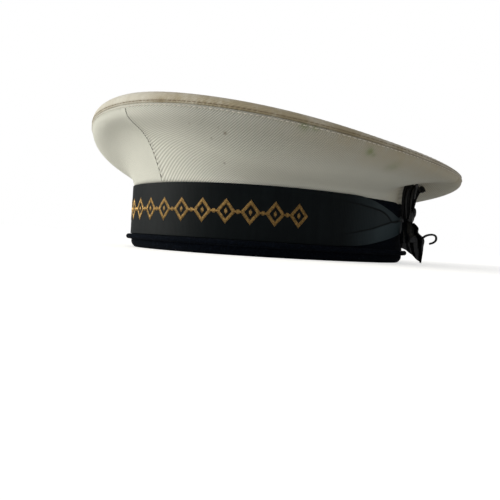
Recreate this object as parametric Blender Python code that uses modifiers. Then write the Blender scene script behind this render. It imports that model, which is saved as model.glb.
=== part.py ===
# Sailor's cap: white twill crown on a navy wool band, with a black silk ribbon tied in a bow
# Units are metres. The origin is the middle of the band's rim on the surface it rests on.
# +Z is up, -Y is the front of the cap and +X is the wearer's left.

import bmesh
import bpy
import numpy as np
from math import atan2, ceil, cos, degrees, pi, radians, sin, tan
from mathutils import Vector

MM = 0.001

# Fits and fineness
CLEARANCE = 0.3 * MM            # between two pieces that touch on the real cap
WELD = 0.001 * MM               # points closer than this are one
ROUND_STEPS = 64                # divisions once round the cap
PANEL_STEPS = 10                # divisions up a side panel

# Head band: navy wool cloth in several layers
BAND_INSIDE_LENGTH = 200.0 * MM
BAND_INSIDE_WIDTH = 166.6 * MM
BAND_WALL = 3.0 * MM
BAND_HEIGHT = 41.4 * MM
BAND_STEPS = 2
BAND_EDGE_ROUND = 0.8 * MM
BAND_PLAN_POWER = 2.2           # 2 is an ellipse, more is squarer

# Piping sewn in just above the lower edge
WELT_DIAMETER = 3.4 * MM

# Silk ribbon round the band
RIBBON_WIDTH = 32.0 * MM
RIBBON_THICKNESS = 1.0 * MM
RIBBON_STEPS = 4                # divisions across its width
GATHER_LENGTH = 66.0 * MM       # how far from the knot the ribbon starts to narrow

# Crown: four pieces of white twill
CLOTH = 1.6 * MM
CROWN_LENGTH = 271.8 * MM       # front to back, at the seam
CROWN_WIDTH = 249.0 * MM
CROWN_SHIFT_BACK = 3.3 * MM
CROWN_SEAM_HEIGHT = 67.8 * MM   # the seam's mean height above the rim
CROWN_TILT = radians(3.9)       # the seam's plane rises to the front
CROWN_SADDLE = 5.3 * MM         # front and back curl up, the sides droop
CROWN_PLAN_POWER = 2.06
CROWN_DOME = 7.5 * MM
ROLL_WIDTH = 9.0 * MM
ROLL_FRONT = 7.2 * MM           # height of the rolled edge above the seam
ROLL_BACK = 3.2 * MM
ROLL_START = radians(-25.0)     # where round its section the roll leaves the seam
ROLL_END = radians(172.0)
ROLL_STEPS = 6
DOME_STEPS = 4
ROLL_FALL = 3                   # how fast the roll grows flatter away from the front
PANEL_SEAMS = (radians(5.8), radians(112.0), radians(-112.0))

# The crown's underside lifts where the bow pushes up under it
DENT_ANGLE = radians(116.0)
DENT_SPREAD = radians(13.0)
DENT_LIFT = 12.5 * MM
DENT_PUSH = 3.0 * MM            # how far it is pressed in towards the head

# Bow at the wearer's left rear
KNOT_ANGLE = radians(117.0)
KNOT_ACROSS = 8.0 * MM          # out from the band
KNOT_ALONG = 8.0 * MM
KNOT_TALL = 12.0 * MM
KNOT_RISE = 7.6 * MM            # its centre above the middle of the ribbon
KNOT_FOLDS = 5
KNOT_FOLD_DEPTH = 0.08          # share of its radius
BOW_CLOTH = 0.8 * MM
STRIP_STEPS_ACROSS = 5
UPPER_STEPS = 20                # divisions along the upper loop
REAR_STEPS = 9
TAIL_ABOVE_TABLE = 1.2 * MM
WISP_WIDTH = 2.4 * MM
WISP_THICKNESS = 0.8 * MM
WISP_STEPS = 16
WISP_TAPER = 0.6                # share of its width lost towards the tip


def table(columns, *rows):
    """A table with named columns, a row for each section or fold."""
    return np.array(list(rows), dtype=[(name, float) for name in columns.split()])


# Side panels: the two handles of the curve from the band to the crown's seam, as shares of the way
# out and of the way up, a row for each angle from the front. The first and last rows mirror their
# neighbours' neighbours, so that the two sides meet smoothly
FLARE = table(
    "angle low_out low_up high_out high_up",
    (-45, -0.08, 0.24, 1.18, 0.51),
    (0, 0.44, 1.05, 0.94, 0.67),
    (45, -0.08, 0.24, 1.18, 0.51),
    (90, 0.02, 0.46, 1.15, 0.48),
    (135, 0.12, 0.42, 1.18, 0.44),
    (180, 0.24, 0.30, 1.20, 0.42),
    (225, 0.12, 0.42, 1.18, 0.44),
)

# The ribbon from its full width to the knot: its two edges as shares of the ribbon's width from
# its middle, by the share of the gathered length that is left to the knot
GATHER = table(
    "left lower upper",
    (0.00, -0.12, 0.24),
    (0.14, -0.18, 0.19),
    (0.32, -0.27, 0.28),
    (0.52, -0.36, 0.39),
    (0.74, -0.46, 0.49),
    (1.00, -0.50, 0.50),
)

# Bow pieces, in shares of the ribbon's width from the knot's centre: along the band away from the
# front, out from the band, and up. Side is how far the strip stands clear of the knot's front (-1)
# or of its back (1)
LOOP_UPPER = table(
    "side along out up width turn curl",
    (-1.0, 0.000, -0.020, -0.06, 0.16, 0, 70),
    (-1.0, -0.025, -0.020, 0.15, 0.20, 0, 60),
    (-1.0, -0.025, -0.020, 0.34, 0.22, 0, 50),
    (-1.0, 0.005, -0.007, 0.53, 0.20, 0, 40),
    (-0.4, -0.005, 0.020, 0.670, 0.18, 0, 30),
    (0.3, -0.010, 0.030, 0.670, 0.18, 5, 30),
    (0.7, 0.000, 0.015, 0.55, 0.18, 10, 30),
    (0.7, 0.010, 0.000, 0.40, 0.16, 10, 40),
)
LOOP_REAR = table(
    "side along out up width turn curl",
    (1.0, 0.020, -0.010, 0.02, 0.12, 10, 60),
    (1.0, 0.045, -0.005, 0.24, 0.16, 14, 60),
    (1.0, 0.080, 0.020, 0.44, 0.18, 20, 50),
    (1.0, 0.115, 0.070, 0.60, 0.20, 26, 40),
    (1.0, 0.125, 0.135, 0.65, 0.22, 30, 30),
    (1.0, 0.115, 0.195, 0.55, 0.20, 30, 30),
)

# The tail is rolled like a trumpet: its sections from the knot to the mouth, by the share of the drop
TAIL = table(
    "down along out half_out half_along",
    (0.00, 0.000, 0.000, 0.115, 0.100),
    (0.12, -0.070, 0.057, 0.162, 0.120),
    (0.25, -0.130, 0.064, 0.167, 0.135),
    (0.37, -0.170, 0.120, 0.222, 0.155),
    (0.61, -0.190, 0.143, 0.212, 0.170),
    (1.00, -0.190, 0.180, 0.165, 0.150),
)
# Where the mouth is cut, by the way round the trumpet from its front edge: shares of the drop
TAIL_CUT = table(
    "round reach",
    (0.00, 0.50),
    (0.20, 0.52),
    (0.40, 0.62),
    (0.60, 0.76),
    (0.80, 0.95),
    (1.00, 1.00),
)
TAIL_FIRST = radians(62.0)      # way round of its front edge, from straight out towards the front
TAIL_TURN = radians(305.0)
TAIL_STEPS_ROUND = 20
TAIL_STEPS_DOWN = 9
COLLAR = 0.35                   # how far below its middle the knot is wrapped, share of its height

# A thread of the ribbon's edge that curls away from the tail's outer edge, from its root there
WISP_ROOT = 0.37                # share of the tail's drop
WISP = table(
    "out up",
    (0.000, 0.000),
    (0.060, 0.045),
    (0.130, 0.070),
    (0.205, 0.075),
    (0.262, 0.045),
    (0.272, -0.030),
    (0.220, -0.090),
    (0.140, -0.120),
)


# Values that follow from the sizes above

BAND_HALF_LENGTH = BAND_INSIDE_LENGTH / 2 + BAND_WALL
BAND_HALF_WIDTH = BAND_INSIDE_WIDTH / 2 + BAND_WALL
RIBBON_TOP = BAND_HEIGHT - CLEARANCE
RIBBON_BOTTOM = RIBBON_TOP - RIBBON_WIDTH
RIBBON_MIDDLE = (RIBBON_TOP + RIBBON_BOTTOM) / 2
RIBBON_FACE = CLEARANCE + RIBBON_THICKNESS
WELT_OUT = CLEARANCE + WELT_DIAMETER / 2
WELT_HEIGHT = RIBBON_BOTTOM - CLEARANCE - WELT_DIAMETER / 2
PANEL_FOOT = BAND_HEIGHT + CLEARANCE
KNOT_HEIGHT = RIBBON_MIDDLE + KNOT_RISE
DENT_PEAK = 0.25 * 0.75 ** 3     # the dent is deepest a quarter of the way up the panel
KNOT_SIDE = KNOT_ALONG / 2 + CLEARANCE + BOW_CLOTH / 2
COLLAR_SHARE = (1 - (2 * COLLAR) ** 2) ** 0.5
COLLAR_OUT = KNOT_ACROSS / 2 * COLLAR_SHARE + 2 * CLEARANCE + BOW_CLOTH / 2
COLLAR_ALONG = KNOT_ALONG / 2 * COLLAR_SHARE + 2 * CLEARANCE + BOW_CLOTH / 2
KNOT_OUT = RIBBON_FACE + CLEARANCE + COLLAR_OUT + BOW_CLOTH / 2
TAIL_TOP = KNOT_HEIGHT - COLLAR * KNOT_TALL
TAIL_DROP = TAIL_TOP - TAIL_ABOVE_TABLE


# Reading tables and plan curves

def read(rows, column, place, key=None):
    """A smooth value of one column: place runs along the rows from 0 to 1, or along the key column."""
    at = rows[key] if key else np.linspace(0.0, 1.0, len(rows))
    values = rows[column]
    slopes = np.gradient(values, at)
    k = int(np.clip(np.searchsorted(at, place) - 1, 0, len(at) - 2))
    span = at[k + 1] - at[k]
    t = min(max((place - at[k]) / span, 0.0), 1.0)
    start = (1 + 2 * t) * (1 - t) ** 2 * values[k] + t * (1 - t) ** 2 * span * slopes[k]
    end = t * t * (3 - 2 * t) * values[k + 1] + t * t * (t - 1) * span * slopes[k + 1]
    return start + end


def oval(angle, half_length, half_width, power):
    """A point of a squarish oval, by the angle from the front."""
    across, forward = sin(angle), cos(angle)
    x = half_width * np.sign(across) * abs(across) ** (2 / power)
    y = -half_length * np.sign(forward) * abs(forward) ** (2 / power)
    return Vector((x, y, 0.0))


def band_outward(angle):
    """The direction straight out of the band."""
    p = oval(angle, BAND_HALF_LENGTH, BAND_HALF_WIDTH, BAND_PLAN_POWER)
    slope_x = np.sign(p.x) * abs(p.x / BAND_HALF_WIDTH) ** (BAND_PLAN_POWER - 1) / BAND_HALF_WIDTH
    slope_y = np.sign(p.y) * abs(p.y / BAND_HALF_LENGTH) ** (BAND_PLAN_POWER - 1) / BAND_HALF_LENGTH
    return Vector((slope_x, slope_y, 0.0)).normalized()


def band_point(angle, out, height):
    """A point at a distance outside the band's outer face."""
    p = oval(angle, BAND_HALF_LENGTH, BAND_HALF_WIDTH, BAND_PLAN_POWER) + band_outward(angle) * out
    return Vector((p.x, p.y, height))


def round_angle(share):
    """The angle from the front, at a share of the way round."""
    return 2 * pi * share


def seam_point(angle):
    """The seam between the crown's top and its side panels."""
    p = oval(angle, CROWN_LENGTH / 2, CROWN_WIDTH / 2, CROWN_PLAN_POWER)
    p.y += CROWN_SHIFT_BACK
    p.z = CROWN_SEAM_HEIGHT - tan(CROWN_TILT) * p.y + CROWN_SADDLE * cos(2 * angle)
    return p


def side_point(angle, rise):
    """A point of a side panel's outer face, from the band at rise 0 to the seam at rise 1."""
    foot = band_point(angle, -CLEARANCE, PANEL_FOOT)
    seam = seam_point(angle) - Vector((0, 0, CLEARANCE / 2))
    turned = degrees(abs(atan2(sin(angle), cos(angle))))
    low_out, low_up, high_out, high_up = (
        read(FLARE, column, turned, "angle") for column in ("low_out", "low_up", "high_out", "high_up")
    )
    low, high, last = 3 * (1 - rise) ** 2 * rise, 3 * (1 - rise) * rise ** 2, rise ** 3
    out = low * low_out + high * high_out + last
    up = low * low_up + high * high_up + last
    p = foot.lerp(seam, out)
    p.z = foot.z + (seam.z - foot.z) * up
    away = (angle - DENT_ANGLE) / DENT_SPREAD
    dent = np.exp(-away * away) * rise * (1 - rise) ** 3 / DENT_PEAK
    return p + Vector((0, 0, DENT_LIFT * dent)) - band_outward(angle) * DENT_PUSH * dent


def bow_point(along, out, up):
    """A point by its place from the knot's centre."""
    outward = band_outward(KNOT_ANGLE)
    backward = Vector((-outward.y, outward.x, 0.0))
    return band_point(KNOT_ANGLE, KNOT_OUT + out, KNOT_HEIGHT + up) + backward * along


# Making objects

def material(name, colour, roughness):
    made = bpy.data.materials.new(name)
    made.use_nodes = True
    shader = made.node_tree.nodes["Principled BSDF"]
    shader.inputs["Base Color"].default_value = (*colour, 1.0)
    shader.inputs["Roughness"].default_value = roughness
    shader.inputs["Metallic"].default_value = 0.0
    return made


def add_object(name, data, surface, collection):
    made = bpy.data.objects.new(name, data)
    data.materials.append(surface)
    collection.objects.link(made)
    return made


def add_sheet(name, steps_across, steps_up, place, surface, collection, closed=False):
    """A grid whose corners are placed by a function of two shares, each from 0 to 1."""
    bm = bmesh.new()
    bmesh.ops.create_grid(bm, x_segments=steps_across, y_segments=steps_up, size=0.5)
    for vertex in bm.verts:
        vertex.co = place(vertex.co.x + 0.5, vertex.co.y + 0.5)
    if closed:
        bmesh.ops.remove_doubles(bm, verts=bm.verts, dist=WELD)
    mesh = bpy.data.meshes.new(name)
    bm.to_mesh(mesh)
    bm.free()
    mesh.shade_smooth()
    return add_object(name, mesh, surface, collection)


def thicken(piece, thickness, side):
    """Turns a sheet into a wall, on its inner side with -1 or its outer side with 1."""
    wall = piece.modifiers.new("Wall", "SOLIDIFY")
    wall.thickness = thickness
    wall.offset = side
    wall.use_even_offset = True
    wall.use_quality_normals = True
    return piece


# The pieces

def make_head_band(surface, collection):
    def place(across, rise):
        return band_point(round_angle(across), 0.0, BAND_HEIGHT * rise)

    band = add_sheet("head_band", ROUND_STEPS, BAND_STEPS, place, surface, collection, closed=True)
    thicken(band, BAND_WALL, -1)
    edges = band.modifiers.new("Rounded edges", "BEVEL")
    edges.width = BAND_EDGE_ROUND
    edges.segments = 2
    edges.limit_method = "ANGLE"
    edges.angle_limit = radians(60)
    return band


def make_welt(surface, collection):
    data = bpy.data.curves.new("band_welt", "CURVE")
    data.dimensions = "3D"
    data.bevel_depth = WELT_DIAMETER / 2
    data.bevel_resolution = 2
    spline = data.splines.new("POLY")
    spline.points.add(ROUND_STEPS - 1)
    for k, point in enumerate(spline.points):
        point.co = (*band_point(round_angle(k / ROUND_STEPS), WELT_OUT, WELT_HEIGHT), 1.0)
    spline.use_cyclic_u = True
    return add_object("band_welt", data, surface, collection)


def band_arc(start, end, steps=200):
    """The length of the band's outer face between two angles."""
    points = [band_point(start + (end - start) * k / steps, 0.0, 0.0) for k in range(steps + 1)]
    return sum((b - a).length for a, b in zip(points, points[1:]))


def make_ribbon(surface, collection):
    half_gap = CLEARANCE / 2 / BAND_HALF_WIDTH
    start = KNOT_ANGLE + half_gap - 2 * pi
    end = KNOT_ANGLE - half_gap
    gather = GATHER_LENGTH / band_arc(start, end)

    def place(across, rise):
        left = min(min(across, 1 - across) / gather, 1.0)
        low, high = (RIBBON_WIDTH * read(GATHER, edge, left, "left") for edge in ("lower", "upper"))
        height = RIBBON_MIDDLE + low + (high - low) * rise
        return band_point(start + (end - start) * across, CLEARANCE, height)

    ribbon = add_sheet("cap_ribbon", ROUND_STEPS, RIBBON_STEPS, place, surface, collection)
    return thicken(ribbon, RIBBON_THICKNESS, 1)


def make_side_panels(surface, collection):
    """Three panels round the crown, with a seam in front and one behind each side."""
    names = ("side_panel_left", "back_panel", "side_panel_right")
    ends = list(PANEL_SEAMS) + [PANEL_SEAMS[0]]
    for name, start, end in zip(names, ends, ends[1:]):
        span = (end - start) % (2 * pi)
        margin = CLEARANCE / 2 / BAND_HALF_WIDTH

        def place(across, rise, start=start, span=span, margin=margin):
            return side_point(start + margin + (span - 2 * margin) * across, rise)

        steps = ceil(ROUND_STEPS * span / (2 * pi))
        panel = add_sheet(name, steps, PANEL_STEPS, place, surface, collection)
        thicken(panel, CLOTH, -1)


def make_crown_top(surface, collection):
    """The crown's oval top, rolled over at its seam and slightly domed."""
    centre = Vector((0, CROWN_SHIFT_BACK, 0))
    roll_share = ROLL_STEPS / (ROLL_STEPS + DOME_STEPS)

    def roll_height(angle):
        return ROLL_BACK + (ROLL_FRONT - ROLL_BACK) * ((1 + cos(angle)) / 2) ** ROLL_FALL

    def rolled(angle, turn):
        """How far in from the seam and how far above it the roll is, at a turn of its section."""
        inset = ROLL_WIDTH / 2 * (cos(ROLL_START) - cos(turn))
        lift = roll_height(angle) * (sin(turn) - sin(ROLL_START)) / (1 - sin(ROLL_START))
        return inset, lift

    def place(across, inward):
        angle = round_angle(across)
        seam = seam_point(angle) + Vector((0, 0, CLEARANCE / 2))
        spoke = Vector((seam.x, seam.y - centre.y, 0))
        turn = ROLL_START + (ROLL_END - ROLL_START) * min(inward / roll_share, 1.0)
        inset, lift = rolled(angle, turn)
        foot = centre + spoke * (1 - inset / spoke.length)
        if inward <= roll_share:
            return Vector((foot.x, foot.y, seam.z + lift))
        out = 1 - (inward - roll_share) / (1 - roll_share)
        p = centre.lerp(foot, out)
        level = CROWN_SEAM_HEIGHT - tan(CROWN_TILT) * p.y
        edge_lift = seam.z + lift - CROWN_SEAM_HEIGHT + tan(CROWN_TILT) * foot.y
        return Vector((p.x, p.y, level + edge_lift * out ** 2 + CROWN_DOME * (1 - out ** 2)))

    top = add_sheet("crown_top", ROUND_STEPS, ROLL_STEPS + DOME_STEPS, place, surface, collection, True)
    return thicken(top, CLOTH, -1)


def make_knot(surface, collection):
    """The turn of ribbon that binds the bow, with shallow folds round it."""
    bm = bmesh.new()
    bmesh.ops.create_uvsphere(bm, u_segments=20, v_segments=10, radius=0.5)
    for vertex in bm.verts:
        turn = atan2(vertex.co.y, vertex.co.x)
        fold = 1 - KNOT_FOLD_DEPTH * (1 + cos(KNOT_FOLDS * turn)) / 2
        along, out = vertex.co.y * KNOT_ALONG * fold, vertex.co.x * KNOT_ACROSS * fold
        vertex.co = bow_point(along, out, vertex.co.z * KNOT_TALL)
    mesh = bpy.data.meshes.new("bow_knot")
    bm.to_mesh(mesh)
    bm.free()
    mesh.shade_smooth()
    return add_object("bow_knot", mesh, surface, collection)


def bow_direction(along, out):
    return bow_point(along, out, 0) - bow_point(0, 0, 0)


def make_bow_loop(name, rows, steps_along, surface, collection):
    """A strip of ribbon that follows the rows of a table and curls across its width."""
    def centre(share):
        along, out, up = (RIBBON_WIDTH * read(rows, column, share) for column in ("along", "out", "up"))
        return bow_point(KNOT_SIDE * read(rows, "side", share) + along, out, up)

    def place(across, share):
        turn, curl = radians(read(rows, "turn", share)), radians(read(rows, "curl", share))
        width = RIBBON_WIDTH * read(rows, "width", share)
        step = 0.01
        forward = (centre(min(share + step, 1.0)) - centre(max(share - step, 0.0))).normalized()
        sideways = bow_direction(sin(turn), cos(turn))
        sideways = (sideways - forward * sideways.dot(forward)).normalized()
        face = sideways.cross(forward)
        bend = (across - 0.5) * curl
        radius = width / curl
        return centre(share) + sideways * radius * sin(bend) + face * radius * (1 - cos(bend))

    loop = add_sheet(name, STRIP_STEPS_ACROSS, steps_along, place, surface, collection)
    return thicken(loop, BOW_CLOTH, 0)


def tail_section(down):
    """The trumpet's middle and half sizes at a share of its drop."""
    along, out, half_out, half_along = (
        RIBBON_WIDTH * read(TAIL, column, down, "down") for column in ("along", "out", "half_out", "half_along")
    )
    return along, out, max(half_out, COLLAR_OUT), max(half_along, COLLAR_ALONG)


def make_bow_tail(surface, collection):
    """The lower tail: it wraps the knot's lower end and opens downwards like a trumpet."""
    def place(across, share):
        down = share * read(TAIL_CUT, "reach", across, "round")
        turn = TAIL_FIRST + TAIL_TURN * across
        along, out, half_out, half_along = tail_section(down)
        drop = KNOT_HEIGHT - TAIL_TOP + TAIL_DROP * down
        return bow_point(along - half_along * sin(turn), out + half_out * cos(turn), -drop)

    tail = add_sheet("bow_tail", TAIL_STEPS_ROUND, TAIL_STEPS_DOWN, place, surface, collection)
    return thicken(tail, BOW_CLOTH, 0)


def make_wisp(surface, collection):
    """A narrow curled thread of ribbon that starts at the tail's outer edge."""
    along, out, half_out, half_along = tail_section(WISP_ROOT)
    root_out = out + half_out + BOW_CLOTH / 2 + CLEARANCE
    root_up = TAIL_TOP - TAIL_DROP * WISP_ROOT - KNOT_HEIGHT

    def place(across, share):
        width = WISP_WIDTH * (1 - WISP_TAPER * share)
        out_share, up_share = read(WISP, "out", share), read(WISP, "up", share)
        return bow_point(
            along + width * (across - 0.5), root_out + RIBBON_WIDTH * out_share, root_up + RIBBON_WIDTH * up_share
        )

    wisp = add_sheet("bow_wisp", 1, WISP_STEPS, place, surface, collection)
    return thicken(wisp, WISP_THICKNESS, 0)


def main():
    for old in list(bpy.data.objects):
        bpy.data.objects.remove(old, do_unlink=True)
    cap = bpy.data.collections.new("sailors_cap")
    bpy.context.scene.collection.children.link(cap)

    twill = material("White twill", (0.60, 0.59, 0.52), 0.85)
    tip_twill = material("Yellowed white twill", (0.55, 0.52, 0.42), 0.85)
    wool = material("Navy wool cloth", (0.008, 0.011, 0.020), 0.95)
    piping = material("Navy wool piping", (0.009, 0.012, 0.019), 0.95)
    silk = material("Black ribbed silk", (0.012, 0.014, 0.016), 0.55)
    bow_silk = material("Black silk of the bow", (0.008, 0.009, 0.011), 0.5)

    make_head_band(wool, cap)
    make_welt(piping, cap)
    make_ribbon(silk, cap)
    make_side_panels(twill, cap)
    make_crown_top(tip_twill, cap)
    make_knot(bow_silk, cap)
    make_bow_loop("bow_loop_upper", LOOP_UPPER, UPPER_STEPS, bow_silk, cap)
    make_bow_loop("bow_loop_rear", LOOP_REAR, REAR_STEPS, bow_silk, cap)
    make_bow_tail(bow_silk, cap)
    make_wisp(bow_silk, cap)


main()
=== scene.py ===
# Sailor's cap in its own cloth: white cotton twill, navy wool, black ribbed silk and gilt wire
# Units are metres. The origin is the middle of the band's rim on the surface it rests on.
# +Z is up, -Y is the front of the cap and +X is the wearer's left.

from math import ceil, cos, pi, radians, sin, tan

import bmesh
import bpy
import numpy as np
from bpy.props import FloatProperty, FloatVectorProperty, PointerProperty
from mathutils import Matrix, Vector


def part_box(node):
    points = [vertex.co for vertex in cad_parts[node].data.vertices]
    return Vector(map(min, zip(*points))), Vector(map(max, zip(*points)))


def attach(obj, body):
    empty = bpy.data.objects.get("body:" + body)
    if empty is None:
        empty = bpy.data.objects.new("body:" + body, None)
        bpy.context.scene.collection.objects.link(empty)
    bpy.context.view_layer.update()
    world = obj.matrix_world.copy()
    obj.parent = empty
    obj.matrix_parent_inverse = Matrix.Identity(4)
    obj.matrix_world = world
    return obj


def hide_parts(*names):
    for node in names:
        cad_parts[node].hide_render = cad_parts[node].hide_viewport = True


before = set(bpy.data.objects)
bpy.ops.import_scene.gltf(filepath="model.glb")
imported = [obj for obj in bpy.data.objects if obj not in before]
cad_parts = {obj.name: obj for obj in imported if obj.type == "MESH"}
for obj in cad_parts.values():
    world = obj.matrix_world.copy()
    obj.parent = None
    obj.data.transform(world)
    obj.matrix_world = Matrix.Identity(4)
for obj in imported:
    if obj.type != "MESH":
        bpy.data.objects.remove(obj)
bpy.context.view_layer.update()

bl_info = {
    "name": "Sailor Cap",
    "version": (1, 0, 0),
    "blender": (4, 5, 0),
    "location": "View3D > Sidebar > Sailor Cap",
    "description": "Dresses a sailor's cap in twill, wool, ribbed silk and gilt wire",
    "category": "Object",
}

MM = 0.001


def linear(hex_colour):
    """An sRGB hex colour as linear red, green and blue."""
    shares = [int(hex_colour[k:k + 2], 16) / 255 for k in (0, 2, 4)]
    return tuple(s / 12.92 if s <= 0.04045 else ((s + 0.055) / 1.055) ** 2.4 for s in shares)


# Sizes that the frame gives

BAND_HALF_WIDTH, BAND_HALF_LENGTH, BAND_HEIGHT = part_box("head_band")[1]
RIBBON_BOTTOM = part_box("cap_ribbon")[0].z
RIBBON_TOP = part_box("cap_ribbon")[1].z
RIBBON_WIDTH = RIBBON_TOP - RIBBON_BOTTOM
RIBBON_MIDDLE = (RIBBON_TOP + RIBBON_BOTTOM) / 2
CLEARANCE = BAND_HEIGHT - RIBBON_TOP    # between two pieces that touch on the real cap

# Sizes repeated from the part's source

BAND_WALL = 3.0 * MM
BAND_PLAN_POWER = 2.2           # 2 is an ellipse, more is squarer
WELT_DIAMETER = 3.4 * MM
RIBBON_THICKNESS = 1.0 * MM
GATHER_LENGTH = 66.0 * MM
CLOTH = 1.6 * MM
CROWN_LENGTH = 271.8 * MM
CROWN_WIDTH = 249.0 * MM
CROWN_SHIFT_BACK = 3.3 * MM
CROWN_SEAM_HEIGHT = 67.8 * MM
CROWN_TILT = radians(3.9)
CROWN_SADDLE = 5.3 * MM
CROWN_PLAN_POWER = 2.06
CROWN_DOME = 7.5 * MM
ROLL_WIDTH = 9.0 * MM
ROLL_FRONT = 7.2 * MM
ROLL_BACK = 3.2 * MM
ROLL_START = radians(-25.0)
ROLL_END = radians(172.0)
ROLL_SHARE = 0.6                # share of the crown top's rows that its roll takes
ROLL_FALL = 3
PANEL_SEAMS = (radians(5.8), radians(112.0), radians(-112.0))
DENT_ANGLE = radians(116.0)
DENT_SPREAD = radians(13.0)
DENT_LIFT = 12.5 * MM
DENT_PUSH = 3.0 * MM
KNOT_ANGLE = radians(117.0)
KNOT_ACROSS = 8.0 * MM
KNOT_ALONG = 8.0 * MM
KNOT_TALL = 12.0 * MM
KNOT_RISE = 7.6 * MM
BOW_CLOTH = 0.8 * MM
TAIL_ABOVE_TABLE = 1.2 * MM
WISP_WIDTH = 2.4 * MM
WISP_TAPER = 0.6
WISP_ROOT = 0.37
COLLAR = 0.35

RIBBON_FACE = CLEARANCE + RIBBON_THICKNESS
WELT_OUT = CLEARANCE + WELT_DIAMETER / 2
WELT_HEIGHT = RIBBON_BOTTOM - CLEARANCE - WELT_DIAMETER / 2
KNOT_HEIGHT = RIBBON_MIDDLE + KNOT_RISE
DENT_PEAK = 0.25 * 0.75 ** 3
KNOT_SIDE = KNOT_ALONG / 2 + CLEARANCE + BOW_CLOTH / 2
COLLAR_SHARE = (1 - (2 * COLLAR) ** 2) ** 0.5
COLLAR_OUT = KNOT_ACROSS / 2 * COLLAR_SHARE + 2 * CLEARANCE + BOW_CLOTH / 2
COLLAR_ALONG = KNOT_ALONG / 2 * COLLAR_SHARE + 2 * CLEARANCE + BOW_CLOTH / 2
KNOT_OUT = RIBBON_FACE + CLEARANCE + COLLAR_OUT + BOW_CLOTH / 2
TAIL_TOP = KNOT_HEIGHT - COLLAR * KNOT_TALL
TAIL_DROP = TAIL_TOP - TAIL_ABOVE_TABLE

# Finish of the sewing

EDGE_ROLL = 4.5 * MM            # the band's lower edge is rolled in, over this height
EDGE_ROLL_IN = 2.4 * MM
LIP_HEIGHT = 0.45 * MM          # the turned cloth beside a seam stands up
LIP_PLACE = 1.1 * MM
LIP_SPREAD = 0.8 * MM
SEAM_SPREAD = 0.4 * MM          # nearer than this the two cloths of a seam keep to its line
TURNED_IN = 0.9 * MM            # the crown's foot, below the band's upper edge
FRONT_RIDGE = 0.9 * MM          # the crown is drawn to a slight keel at the front seam
FRONT_RIDGE_SPREAD = 9.0 * MM
EDGE_THREAD_PLACE = 0.03        # below the crown's seam, as a share of the panel's rise
TOPSTITCH_PLACE = 1.25 * MM     # above the crown's seam
TOPSTITCH_GROOVE = 0.2 * MM
TOPSTITCH_SPREAD = 0.45 * MM
PUCKER_REACH = 4.0 * MM
PUCKER_DRIFT = 23.0 * MM        # lengths over which the gathers change their pitch and their depth
PUCKER_FLUTTER = 9.1 * MM
PUCKER_FADING = 31.0 * MM
WAVE_DEPTH = 0.5 * MM           # slow waves of the soft crown
WAVES_ACROSS = 17.0 * MM        # their lengths, divided by two pi
WAVES_ALONG = 21.0 * MM
WAVES_UP = 9.0 * MM
WAVES_BEND = 29.0 * MM
WAVES_SLANT = 30.0 * MM
FOLD_RISE = 0.55 * MM           # a folded flap of the ribbon above the part between
FOLD_EDGE = 0.5 * MM
CREASE_PLACE = 0.2 * MM         # outside a fold's line
CREASE_SPREAD = 0.45 * MM
CREASE_DEPTH = 0.2 * MM
RIPPLE = 0.15 * MM              # slight waves across the gathered ribbon
RIPPLE_LENGTH = 5.2 * MM        # of one wave, divided by two pi
SEAM_GRIME = 0.55               # strength of the dirt in a seam
SEAM_GRIME_REACH = 0.5 * MM
STITCH_RISE = 0.15 * MM
FRONT_STITCH_RISE = 0.2 * MM
SILK = 0.5 * MM
WISP_THICKNESS = 1.3 * MM
STEP = 1e-4                     # for slopes of the surfaces


def table(columns, *rows):
    """A table with named columns, a row for each section or fold."""
    return np.array(list(rows), dtype=[(name, float) for name in columns.split()])


# Side panels: the two handles of the curve from the band to the crown's seam, as shares of the way
# out and of the way up, a row for each angle from the front. The first and last rows mirror their
# neighbours' neighbours, so that the two sides meet smoothly
FLARE = table(
    "angle low_out low_up high_out high_up",
    (-45, -0.08, 0.24, 1.18, 0.51),
    (0, 0.44, 1.05, 0.94, 0.67),
    (45, -0.08, 0.24, 1.18, 0.51),
    (90, 0.02, 0.46, 1.15, 0.48),
    (135, 0.12, 0.42, 1.18, 0.44),
    (180, 0.24, 0.30, 1.20, 0.42),
    (225, 0.12, 0.42, 1.18, 0.44),
)

# The ribbon from its full width to the knot, by the share of the gathered length that is left to the
# knot: its edges and its two folds as shares of the ribbon's width from its middle, and how deep the
# folds are
GATHER = table(
    "left lower upper",
    (0.00, -0.12, 0.24),
    (0.14, -0.18, 0.19),
    (0.32, -0.27, 0.28),
    (0.52, -0.36, 0.39),
    (0.74, -0.46, 0.49),
    (1.00, -0.50, 0.50),
)
FOLDS = table(
    "left lower_fold upper_fold depth",
    (0.00, 0.130, 0.140, 1.0),
    (0.10, 0.120, 0.130, 1.0),
    (0.30, 0.065, 0.085, 1.0),
    (0.40, 0.015, 0.200, 1.0),
    (0.49, -0.030, 0.260, 1.0),
    (0.62, -0.115, 0.300, 0.9),
    (0.82, -0.225, 0.350, 0.6),
    (1.00, -0.300, 0.370, 0.0),
)

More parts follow.
